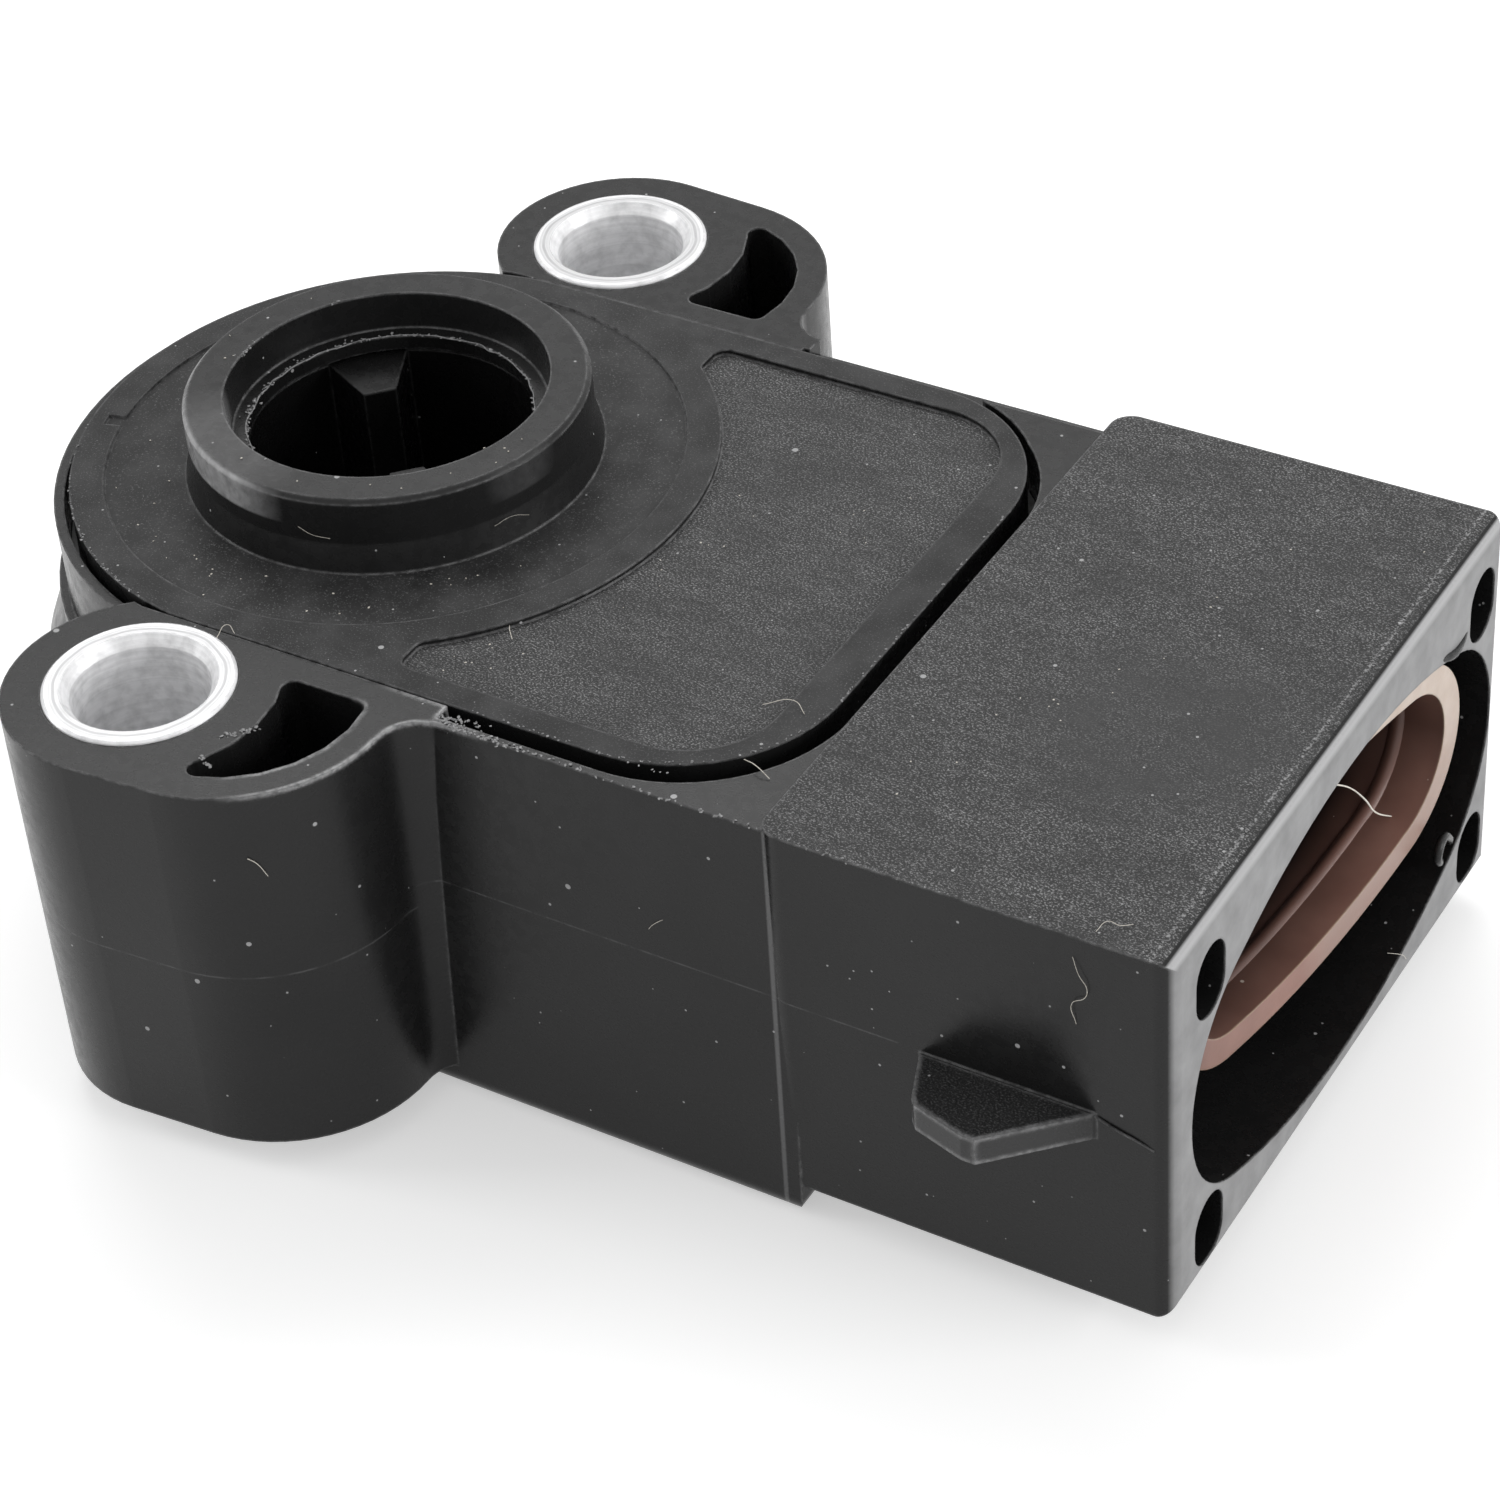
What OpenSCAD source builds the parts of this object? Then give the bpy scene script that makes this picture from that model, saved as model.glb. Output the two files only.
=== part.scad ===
// Throttle position sensor: a moulded housing with two bushed ears, a welded cover with a
// spigot, a sprung rotor over a film resistor, and a square connector with a silicone seal.
// The origin is on the rotor axis in the mounting face, Z runs out of the spigot and X runs
// towards the connector. All sizes are millimetres.

/* [Body] */
// Radius of the round end
body_r = 14.9; // [14.75:0.05:15.3]
// Half width of the straight sides
body_half_w = 15.3; // [14.9:0.05:17]
// Depth of the housing below the mounting face
body_h = 20.1; // [19:0.1:26]
// Distance from the axis to the end of the body
body_end_x = 28.2; // [27.9:0.1:30]
// Outward draft of the sides at the back
side_draft = 0.4; // [0:0.05:0.8]
// Radius of the edges round the back
back_edge = 1; // [0.4:0.1:2]
// Radius of the swollen lower wall of the round end
skirt_r = 16.3; // [15.8:0.1:17.5]
// Depth at which the lower wall begins to swell
skirt_z = 4.5; // [3:0.1:7]
// Height of the swelling shoulder
skirt_slope = 3.5; // [2:0.1:6]
// Thickness of the back wall
floor_t = 3; // [2:0.1:4]
// Width of the ledge that carries the cover
ledge_w = 1.6; // [1:0.1:2.4]
// Drop of the rim round the round end
rim_drop = 0.6; // [0.2:0.1:1.2]
// Drop of the rim along the far side
far_drop = 0.9; // [0.2:0.1:1.2]

/* [Cover] */
// Radius of the round end of the cover
cover_r = 14.15; // [13:0.05:14.4]
// Half width of the cover
cover_half_w = 14.05; // [13:0.05:14.2]
// Distance from the axis to the straight end of the cover
cover_end_x = 26.2; // [24:0.05:26.4]
// Radius of the two cover corners
cover_corner_r = 7; // [4:0.1:9]
// Thickness of the cover plate
cover_t = 3; // [2.4:0.1:4]
// Gap between the cover and the rim at the round end and the far side
rim_gap = 0.3; // [0.1:0.05:0.35]
// Width of the open groove on the near side and towards the connector
groove_w = 0.9; // [0.5:0.05:0.95]
// Hairline gap between the cover and the ears
hairline = 0.06; // [0.02:0.01:0.15]
// Radius of the turned-down disc round the spigot
disc_r = 12.65; // [11:0.05:13.5]
// Depth of the disc below the mounting face
disc_step = 0.12; // [0.05:0.01:0.3]
// Depth of the sunk panel
panel_step = 0.28; // [0.1:0.02:0.6]
// Distance from the axis to the straight end of the panel
panel_end_x = 24.4; // [20:0.1:25]
// Half width of the panel
panel_half_w = 12.8; // [12.4:0.1:13]
// Radius of the panel's hollow side
panel_hollow_r = 14.15; // [13.6:0.05:14.4]
// Distance from the axis to the blunt ends beside the hollow
panel_start_x = 8.75; // [8.4:0.05:9]
// Radius of the corners of those ends
panel_end_r = 0.7; // [0.3:0.05:0.8]

/* [Spigot] */
// Height of the spigot
spigot_h = 3.4; // [2:0.1:6]
// Radius that locates in the throttle body
spigot_r = 8.8; // [8.4:0.05:8.9]
// Radius at the foot of its fillet
spigot_foot_r = 9.1; // [9:0.05:10]
// Height of that fillet above the mounting face
spigot_fillet_h = 1.2; // [0.4:0.1:1.4]
// Chamfer round the spigot's top
spigot_chamfer = 0.2; // [0.1:0.05:0.4]
// Radius of its bore
spigot_bore_r = 6.95; // [6.6:0.05:7.2]
// Height of the inner lip above the mounting face
lip_z = 1.7; // [1.4:0.1:1.9]
// Thickness of the inner lip
lip_t = 0.7; // [0.4:0.1:0.9]
// Radius of the hole in the inner lip
lip_r = 6.2; // [5.8:0.05:6.4]

/* [Ears] */
// Distance from the axis to each screw
screw_y = 18.43; // [17.5:0.01:21]
// Radius of the ear round the bush
ear_r = 5.7; // [5.2:0.05:6.5]
// Radius of the larger lobe beside the bush
lobe_r = 6.75; // [6:0.05:7.5]
// Distance from the bush to the lobe centre along X
lobe_x = 4; // [3:0.1:5]
// Distance of the lobe centre from the screw towards the axis
lobe_in = 1.33; // [0.5:0.01:2]
// Drop of the ear top below the mounting face
ear_drop = 0.05; // [0:0.01:0.3]
// Gap between the back of the ear and the back of the body
ear_back = 1.5; // [0.2:0.1:2]
// Radius of the hollow corner between ear and side
ear_fillet = 1.7; // [1:0.1:2.5]
// Depth of the moon-shaped pocket
pocket_depth = 14; // [6:0.5:16]
// Wall left round the outside of the pocket
pocket_wall = 1.35; // [1:0.05:2]
// Wall left between the pocket and the bush
pocket_inner_wall = 1.9; // [1.4:0.05:2.4]

/* [Bushes] */
// Outer radius of a bush
bush_r = 4; // [3.7:0.05:4.4]
// Radius of its bore
bush_bore_r = 2.9; // [2.6:0.05:3.2]
// Height that a bush stands above the ear
bush_proud = 0.16; // [0.05:0.01:0.4]
// Depth and width of the bore's lead-in
bush_lead = 0.35; // [0.1:0.05:0.6]
// Gap that the moulding leaves round metal inserts
insert_gap = 0.02; // [0.01:0.01:0.04]

/* [Connector] */
// Distance from the axis to the front face
front_x = 44.85; // [42:0.05:50]
// Distance from the axis to the back of the shroud
shroud_x = 27.15; // [26.95:0.05:27.8]
// Half width of the shroud
shroud_half_w = 15.6; // [15.2:0.05:17]
// Height of the shroud above the mounting face
shroud_top = 0.15; // [0:0.05:0.5]
// Depth of the shroud's underside
shroud_bottom = 18.3; // [18.1:0.05:18.9]
// Radius of the shroud's back corners
shroud_corner = 1; // [0.4:0.1:2]
// Radius of its front edges
front_edge = 0.8; // [0.3:0.05:1.2]
// Mean wall at the two ends of the mouth
mouth_wall = 1.2; // [1.1:0.05:2]
// Mean wall above and below the mouth
mouth_roof = 1.55; // [1.4:0.05:2]
// Shift of the mouth towards the far side
mouth_y = 0.5; // [0:0.05:0.5]
// Shift of the mouth below the middle of the shroud
mouth_low = 0.4; // [0:0.05:0.4]
// End radius of the mouth
mouth_end_r = 6; // [5.6:0.1:6.4]
// Thickness of the wall between the chamber and the mouth
end_wall = 7; // [5:0.1:9]
// Half width of the core holes in the front corners
core_half_w = 1.25; // [0.8:0.05:1.4]
// Height of the core holes
core_h = 3.4; // [2.6:0.1:3.4]
// Distance of the core holes' centres inside the mouth's ends
core_in = 1.55; // [1.4:0.05:1.6]
// Distance of the core holes' centres inside the mouth's top and bottom
core_drop = 1.15; // [1.05:0.05:1.2]
// Depth of the core holes
core_depth = 9; // [4:0.5:12]
// Length of a latch wedge along X
latch_len = 7.65; // [6:0.05:9]
// Distance of a latch wedge's steep back behind the front face
latch_in = 10.8; // [10:0.05:12]
// Height that a latch wedge stands out
latch_out = 3.45; // [2:0.05:4]
// Thickness of a latch wedge
latch_t = 1.3; // [0.8:0.05:2]
// Depth of a latch wedge's top face
latch_z = 8.4; // [8:0.1:11]

/* [Seal] */
// Width of the moat between the seal and the mouth's ends
moat_w = 3.1; // [3:0.1:3.8]
// Mean height of the moat above and below the seal
moat_h = 2.3; // [2.25:0.05:2.8]
// Difference between the seal's half height and its end radius
seal_flat = 0.6; // [0.4:0.05:0.8]
// Wall of the seal
seal_wall = 1.3; // [1:0.05:1.6]
// Distance of the seal above the mouth's centre
seal_up = 1.6; // [1:0.05:1.7]
// Distance of the seal from the mouth's centre towards the far side
seal_side = 0.4; // [0:0.05:0.5]
// Depth of the seal's rim behind the front face on the centre line
seal_in = 1.3; // [0.6:0.05:2]
// Slant of the seal's rim in degrees
seal_slant = 5; // [0:0.5:6]
// Height of the ridge inside the seal
seal_ridge = 0.45; // [0.2:0.05:0.8]
// Gap between the seal and the block that it sits on
seal_gap = 0.1; // [0.05:0.01:0.2]
// Height of the block inside the seal
seal_block = 3; // [2:0.1:4]

/* [Terminals] */
// Distance between terminals
pin_pitch = 5; // [4:0.1:6]
// Width of a terminal
pin_w = 2.8; // [1.5:0.1:3]
// Thickness of a terminal
pin_t = 0.8; // [0.5:0.05:1]
// Length that the terminals stand out of the block inside the seal
pin_out = 5.2; // [4:0.1:6]

/* [Rotor] */
// Radius of the rotor's upper journal
rotor_r = 7.5; // [7.3:0.05:7.6]
// Radial gap of the rotor in its bearings
run_gap = 0.05; // [0.02:0.01:0.1]
// Gap between the rotor's top and the inner lip
rotor_top_gap = 0.1; // [0.05:0.01:0.2]
// Radius of the drive socket
socket_r = 6.3; // [5.9:0.05:6.45]
// Thickness of the rotor under its socket
socket_floor = 3.2; // [2.4:0.1:4]
// Distance from the axis to the inner face of each drive tab
tab_in = 3.15; // [2.6:0.05:4]
// Width of a drive tab at its inner face
tab_in_w = 1.45; // [1:0.05:2]
// Width of a drive tab at the socket wall
tab_out_w = 3.85; // [2.5:0.05:5]
// Angle of the first drive tab at rest
tab_angle = 135; // [120:1:150]
// Gap between the wall of the chamber and the flange that carries the wiper
flange_gap = 0.8; // [0.6:0.05:1.2]
// Thickness of that flange
flange_t = 1.6; // [1:0.1:2]
// Space between the tracks and the flange
wiper_space = 3.4; // [3:0.1:4]
// Radius of the lower journal
journal_r = 2.5; // [2:0.05:3]
// Travel from rest to full throttle in degrees
travel = 95; // [60:1:105]

/* [Resistor] */
// Gap between the board and the wall of the chamber
board_gap = 0.4; // [0.3:0.05:0.8]
// Thickness of the board
board_t = 1; // [0.6:0.05:1.4]
// Half width of the board's tail
board_half_w = 9; // [7.6:0.1:10]
// Thickness of the printed tracks
track_t = 0.12; // [0.08:0.01:0.2]
// Width of a track
track_w = 1.8; // [1:0.1:2.2]
// Distance of the resistance track's middle inside the flange's edge
track_in = 1.5; // [1.2:0.05:1.8]
// Distance between the middles of the two tracks
track_pitch = 2.7; // [2.4:0.05:2.9]

/* [Spring] */
// Mean radius of the return spring
spring_r = 9.4; // [8.8:0.05:9.8]
// Radius of its wire
spring_wire_r = 0.4; // [0.3:0.05:0.5]
// Number of turns
spring_turns = 3.5; // [2.5:1:4.5]

/* [Hidden] */
$fn = 96;
eps = 0.01;
far = 60;

ear_bottom = -(body_h - ear_back);
cavity_floor = -(body_h - floor_t);
bush_top = bush_proud - ear_drop;
bush_back = 0.1;
bush_edge = 0.1;
lobe_y = screw_y - lobe_in;
ear_edge_y = cover_half_w + hairline;
ear_zone = [-sqrt(ear_r * ear_r - pow(screw_y - ear_edge_y, 2)), lobe_x + lobe_r + ear_fillet - 0.3];
ear_root = 3;
mouth_half_w = shroud_half_w - mouth_wall;
mouth_half_h = (shroud_top + shroud_bottom) / 2 - mouth_roof;
mouth_z = (shroud_bottom - shroud_top) / 2 + mouth_low;
core_y = mouth_half_w - core_in;
core_z = mouth_half_h - core_drop;
seal_half_w = mouth_half_w - moat_w;
seal_half_h = mouth_half_h - moat_h;
seal_end_r = seal_half_h - seal_flat;
seal_y = mouth_y + seal_side;
seal_z = mouth_z - seal_up;
chamber_r = cover_r - ledge_w;
cavity_end_x = cover_end_x - ledge_w;
mouth_floor_x = cavity_end_x + end_wall;
block_end_x = mouth_floor_x + seal_block;
bore_draft = 0.09;
lip_bottom = lip_z - lip_t;
rotor_top = lip_bottom - rotor_top_gap;
rotor_bore_r = rotor_r + run_gap;
board_r = chamber_r - board_gap;
board_end_x = cavity_end_x - 2 * board_gap;
board_top = cavity_floor + board_t;
track_top = board_top + track_t;
flange_r = chamber_r - flange_gap;
flange_bottom = track_top + wiper_space;
flange_top = flange_bottom + flange_t;
socket_bottom = flange_bottom + socket_floor;
track_outer = flange_r - track_in;
track_inner = track_outer - track_pitch;
post_r = 4.4;
post_h = 2.2;
post_top = board_top + post_h;
washer_t = 0.3;
journal_deep = 1.4;
journal_bottom = cavity_floor - journal_deep;
journal_end_gap = 0.2;
wiper_t = 0.25;
wiper_angle = -140;
wiper_half_angle = 14;
arm_len = 3.4;
arm_w = 1.2;
arm_foot = 0.6;
rivet_r = 0.6;
rivet_head = 0.3;
rivet_deep = 1;
rivet_angles = [wiper_angle - 9, wiper_angle + 9];
rivet_radius = (track_outer + track_inner) / 2;
pad_in = 3;
pad_len = 3.2;
pad_x = board_end_x - pad_in;
solder_h = 0.6;
pins = [seal_y - pin_pitch, seal_y, seal_y + pin_pitch];
pin_tip_x = block_end_x + pin_out;
pin_root_x = pad_x - 0.2;
ridge_out = 4.2;
ridge_w = 0.9;
slot_x = cavity_end_x - 1;
sealant_len = 1.2;
well_wall = 1.2;
well_w = 2 * (pin_pitch + well_wall) + pin_w;
well_h = pin_t + 2 * well_wall;
bead_t = 0.5;
panel_corner_r = 4;
notch_angle = 196;
spring_space = 0.4;
spring_low = flange_top + spring_wire_r + spring_space;
spring_high = -cover_t - spring_wire_r - spring_space;
pocket_round = 0.5;
pocket_root = 0.1;

// Plan of the cover, grown by d on every side
module cover_plan(d) {
    intersection() {
        circle(cover_r + d);
        square([far, 2 * (cover_half_w + d)], center = true);
    }
    translate([0, -(cover_half_w + d)])
        square([cover_end_x - cover_corner_r, 2 * (cover_half_w + d)]);
    translate([0, -(cover_half_w - cover_corner_r)])
        square([cover_end_x + d, 2 * (cover_half_w - cover_corner_r)]);
    for (s = [-1, 1])
        translate([cover_end_x - cover_corner_r, s * (cover_half_w - cover_corner_r)])
            circle(cover_corner_r + d);
}

// Plan of the recess that the cover lies in, grown by d: narrow at the round end and the far side
module recess_plan(d) {
    shift = groove_w - rim_gap;
    cover_plan(rim_gap + d);
    intersection() {
        translate([shift, -shift])
            cover_plan(rim_gap + d);
        translate([0, -far / 2])
            square([far, far]);
    }
}

// Oval of two long arcs and two round ends, which stand out by a hair to cross the arcs cleanly
module oval(a, b, r) {
    long_r = (pow(a - r, 2) + b * b - r * r) / (2 * (b - r));
    join_y = (a - r) * long_r / (long_r - r);
    intersection() {
        translate([0, b - long_r])
            circle(long_r, $fn = 240);
        translate([0, long_r - b])
            circle(long_r, $fn = 240);
        square([2 * join_y, 2 * b], center = true);
    }
    for (s = [-1, 1])
        translate([s * (a - r), 0])
            circle(r + eps);
}

// Stands an outline drawn across and up onto a plane that faces along X
module along_x(x0, x1) {
    translate([x0, 0, 0])
        rotate([90, 0, 90])
            linear_extrude(x1 - x0)
                children();
}

// Plan of the ear on the side towards the far screw
module ear_plan() {
    gap = norm([lobe_x, lobe_in]);
    toward = atan2(-lobe_in, lobe_x);
    lean = asin((lobe_r - ear_r) / gap);
    side = toward + 90 + lean;
    translate([0, screw_y])
        circle(ear_r);
    translate([lobe_x, lobe_y])
        circle(lobe_r);
    polygon([
        [ear_r * cos(side), screw_y + ear_r * sin(side)],
        [lobe_x + lobe_r * cos(side), lobe_y + lobe_r * sin(side)],
        [lobe_x, lobe_y],
        [0, screw_y]
    ]);
    root_y = body_half_w - ear_root;
    start_x = ear_zone[0] + 0.1;
    translate([start_x, root_y])
        square([lobe_x + lobe_r - start_x, lobe_y - root_y]);
    difference() {
        translate([lobe_x, root_y])
            square([lobe_r + ear_fillet, body_half_w + ear_fillet - root_y]);
        translate([lobe_x + lobe_r + ear_fillet, body_half_w + ear_fillet])
            circle(ear_fillet);
    }
}

// Plan of the moon-shaped pocket beside the bush
module moon_plan() {
    offset(r = pocket_round, $fn = 24)
        offset(delta = -pocket_round, $fn = 24)
            difference() {
                intersection() {
                    translate([lobe_x, lobe_y])
                        circle(lobe_r - pocket_wall);
                    translate([0, body_half_w + pocket_root])
                        square([lobe_x + lobe_r, 2 * lobe_r]);
                }
                translate([0, screw_y])
                    circle(bush_r + pocket_inner_wall);
            }
}

module round_end() {
    rotate_extrude($fn = 180) {
        translate([0, -body_h])
            square([body_r - back_edge, body_h]);
        translate([0, back_edge - body_h])
            square([body_r, body_h - back_edge]);
        translate([body_r - back_edge, back_edge - body_h])
            circle(back_edge);
    }
    intersection() {
        rotate_extrude($fn = 180) {
            polygon([
                [0, -skirt_z], [body_r, -skirt_z], [skirt_r, -skirt_z - skirt_slope],
                [skirt_r, back_edge - body_h], [0, back_edge - body_h]
            ]);
            translate([0, -body_h])
                square([skirt_r - back_edge, body_h - skirt_z]);
            translate([skirt_r - back_edge, back_edge - body_h])
                circle(back_edge);
        }
        translate([-far, -far / 2, -body_h])
            cube([far, far, body_h]);
    }
}

module straight_body() {
    low_half = body_half_w + side_draft;
    intersection() {
        along_x(0, body_end_x) {
            polygon([
                [-body_half_w, 0], [body_half_w, 0],
                [low_half, back_edge - body_h], [-low_half, back_edge - body_h]
            ]);
            translate([-(low_half - back_edge), -body_h])
                square([2 * (low_half - back_edge), body_h]);
            for (s = [-1, 1])
                translate([s * (low_half - back_edge), back_edge - body_h])
                    circle(back_edge);
        }
        translate([0, far / 2, 0])
            rotate([90, 0, 0])
                linear_extrude(far) {
                    translate([-eps, -body_h])
                        square([body_end_x - back_edge + eps, body_h + eps]);
                    translate([-eps, back_edge - body_h])
                        square([body_end_x + eps, body_h - back_edge]);
                    translate([body_end_x - back_edge, back_edge - body_h])
                        circle(back_edge);
                }
    }
}

module both_ears() {
    for (s = [0, 1])
        mirror([0, s, 0])
            translate([0, 0, ear_bottom])
                linear_extrude(-ear_drop - ear_bottom)
                    ear_plan();
}

// Round end and straight body, with the rim set lower where an ear or nothing stands on it
module body() {
    inner_x = ear_r / 2;
    difference() {
        union() {
            round_end();
            straight_body();
        }
        translate([-far, -far / 2, -rim_drop])
            cube([far - inner_x, far, far]);
        translate([-inner_x, cover_half_w, -far_drop])
            cube([inner_x + shroud_x, far, far]);
        translate([-inner_x, -far, -far_drop])
            cube([inner_x + ear_zone[1], far - cover_half_w, far]);
    }
}

module shroud_block() {
    len_x = front_x - shroud_x;
    tall = shroud_top + shroud_bottom;
    intersection() {
        translate([shroud_x, -shroud_half_w, -shroud_bottom])
            cube([len_x, 2 * shroud_half_w, tall]);
        translate([0, 0, -shroud_bottom])
            linear_extrude(tall)
                shroud_outline(shroud_corner, front_edge, shroud_half_w, shroud_half_w);
        translate([0, shroud_half_w, 0])
            rotate([90, 0, 0])
                linear_extrude(2 * shroud_half_w)
                    shroud_outline(eps, front_edge, shroud_top, shroud_bottom);
    }
}

// Outline from the shroud's back to its front, up to the given distances on its two sides
module shroud_outline(back_r, front_r, up, down) {
    translate([shroud_x + back_r, -down])
        square([front_x - shroud_x - back_r - front_r, up + down]);
    translate([shroud_x, back_r - down])
        square([back_r + eps, up + down - 2 * back_r]);
    translate([front_x - front_r - eps, front_r - down])
        square([front_r + eps, up + down - 2 * front_r]);
    for (y = [back_r - down, up - back_r])
        translate([shroud_x + back_r, y])
            circle(back_r);
    for (y = [front_r - down, up - front_r])
        translate([front_x - front_r, y])
            circle(front_r);
}

module latch(side) {
    mirror([0, side < 0 ? 1 : 0, 0])
        translate([front_x - latch_in, shroud_half_w - eps, -latch_z - latch_t])
            linear_extrude(latch_t)
                polygon([
                    [0, 0], [0.27 * latch_out, 0.69 * latch_out], [0.36 * latch_out, 0.79 * latch_out],
                    [1.03 * latch_out, 0.98 * latch_out], [1.21 * latch_out, 0.98 * latch_out],
                    [latch_len, 0]
                ]);
}

module core_hole(y, z) {
    r = core_half_w;
    run = core_h / 2 - r;
    along_x(front_x - core_depth, front_x + eps)
        translate([y, z]) {
            square([2 * r, 2 * run], center = true);
            for (s = [-1, 1])
                translate([0, s * run])
                    circle(r, $fn = 48);
        }
}

module housing() {
    color([0.16, 0.16, 0.165])
    difference() {
        union() {
            body();
            both_ears();
            shroud_block();
            for (s = [-1, 1])
                latch(s);
        }
        // Recess for the cover, with the groove that stays open round it
        difference() {
            translate([0, 0, -cover_t])
                linear_extrude(cover_t + 1)
                    recess_plan(0);
            for (s = [-1, 1])
                translate([ear_zone[0], s > 0 ? ear_edge_y : -far, -far / 2])
                    cube([ear_zone[1] - ear_zone[0], far - ear_edge_y, far]);
        }
        // Chamber for the rotor and the board
        translate([0, 0, cavity_floor])
            linear_extrude(far)
                intersection() {
                    cover_plan(-ledge_w);
                    translate([-far / 2, -far / 2])
                        square([cavity_end_x + far / 2, far]);
                }
        // Bush bores and pockets in the ears
        for (s = [-1, 1]) {
            translate([0, s * screw_y, -far / 2])
                cylinder(r = bush_r + insert_gap, h = far);
            mirror([0, s < 0 ? 1 : 0, 0])
                translate([0, 0, -ear_drop - pocket_depth])
                    linear_extrude(pocket_depth + 1)
                        moon_plan();
        }
        // Connector mouth
        along_x(mouth_floor_x, front_x + eps)
            translate([mouth_y, -mouth_z])
                oval(mouth_half_w, mouth_half_h, mouth_end_r);
        for (s = [-1, 1], t = [-1, 1])
            core_hole(mouth_y + s * core_y, t * core_z - mouth_z);
        // Terminal passages and the well for their sealant
        terminal_slots();
        along_x(cavity_end_x - eps, cavity_end_x + sealant_len)
            translate([seal_y, -seal_z])
                square([well_w, well_h], center = true);
        journal_bore();
    }
    color([0.16, 0.16, 0.165])
    difference() {
        union() {
            // Block that the seal slips over
            along_x(mouth_floor_x - eps, block_end_x)
                translate([seal_y, -seal_z])
                    seal_oval(-seal_wall - seal_gap);
            // Bearing post for the rotor's lower journal
            translate([0, 0, cavity_floor - eps])
                cylinder(r = post_r, h = post_top - cavity_floor);
        }
        terminal_slots();
        journal_bore();
    }
}

// Passages that the terminals lie in
module terminal_slots() {
    for (y = pins)
        translate([slot_x, y - pin_w / 2 - insert_gap, -seal_z - pin_t / 2 - insert_gap])
            cube([block_end_x + 1 - slot_x, pin_w + 2 * insert_gap, pin_t + 2 * insert_gap]);
}

// Bearing hole for the rotor's lower journal
module journal_bore() {
    translate([0, 0, journal_bottom - journal_end_gap])
        cylinder(r = journal_r + run_gap, h = post_top - journal_bottom + 1);
}

module seal_oval(d) {
    oval(seal_half_w + d, seal_half_h + d, seal_end_r + d);
}

module collar() {
    rotate_extrude($fn = 180)
        polygon([
            [rotor_bore_r, -cover_t], [spigot_foot_r, -cover_t], [spigot_foot_r, -disc_step],
            [spigot_r, spigot_fillet_h], [spigot_r, spigot_h - spigot_chamfer],
            [spigot_r - spigot_chamfer, spigot_h],
            [spigot_bore_r + bore_draft, spigot_h], [spigot_bore_r - bore_draft, lip_z],
            [lip_r, lip_z], [lip_r, lip_bottom], [rotor_bore_r, lip_bottom]
        ]);
}

module cover() {
    color([0.2, 0.2, 0.205]) {
        difference() {
            translate([0, 0, -cover_t])
                linear_extrude(cover_t)
                    cover_plan(0);
            translate([0, 0, -cover_t - 1])
                cylinder(r = spigot_foot_r - 0.3, h = far);
            // Turned-down disc round the spigot, with a small notch in its edge
            translate([0, 0, -disc_step])
                cylinder(r = disc_r, h = 1, $fn = 180);
            rotate([0, 0, notch_angle])
                translate([disc_r - 0.6, -0.35, -disc_step])
                    cube([1.4, 0.7, 1]);
            // Sunk panel towards the connector
            translate([0, 0, -panel_step])
                linear_extrude(1)
                    panel_plan();
        }
        collar();
    }
}

// Plan of the sunk panel, hollowed round the disc, with two blunt ends beside the hollow
module panel_plan() {
    r = panel_corner_r;
    difference() {
        union() {
            translate([panel_start_x, -panel_half_w])
                square([panel_end_x - r - panel_start_x, 2 * panel_half_w]);
            translate([panel_start_x, r - panel_half_w])
                square([panel_end_x - panel_start_x, 2 * (panel_half_w - r)]);
            for (s = [-1, 1])
                translate([panel_end_x - r, s * (panel_half_w - r)])
                    circle(r);
        }
        circle(panel_hollow_r, $fn = 180);
        for (s = [0, 1])
            mirror([0, s])
                panel_end_corners();
    }
}

// What the small corner radii take off a blunt end
module panel_end_corners() {
    r = panel_end_r;
    c = [panel_start_x + r, sqrt(pow(panel_hollow_r + r, 2) - pow(panel_start_x + r, 2))];
    inside = 0.9 * c;
    difference() {
        polygon([[panel_start_x - 1, c[1]], c, inside, [panel_start_x - 1, inside[1]]]);
        translate(c)
            circle(r + eps);
    }
    difference() {
        translate([panel_start_x - 1, panel_half_w - r])
            square([r + 1, r + 1]);
        translate([panel_start_x + r, panel_half_w - r])
            circle(r + eps);
    }
}

module bush(side) {
    color([0.86, 0.87, 0.88])
    translate([0, side * screw_y, 0])
        rotate_extrude()
            polygon([
                [bush_bore_r, ear_bottom - bush_back + bush_lead],
                [bush_bore_r + bush_lead, ear_bottom - bush_back],
                [bush_r - bush_edge, ear_bottom - bush_back],
                [bush_r, ear_bottom - bush_back + bush_edge],
                [bush_r, bush_top - bush_edge], [bush_r - bush_edge, bush_top],
                [bush_bore_r + bush_lead, bush_top], [bush_bore_r, bush_top - 1.4 * bush_lead]
            ]);
}

module bush_near() {
    bush(-1);
}

module bush_far() {
    bush(1);
}

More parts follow.
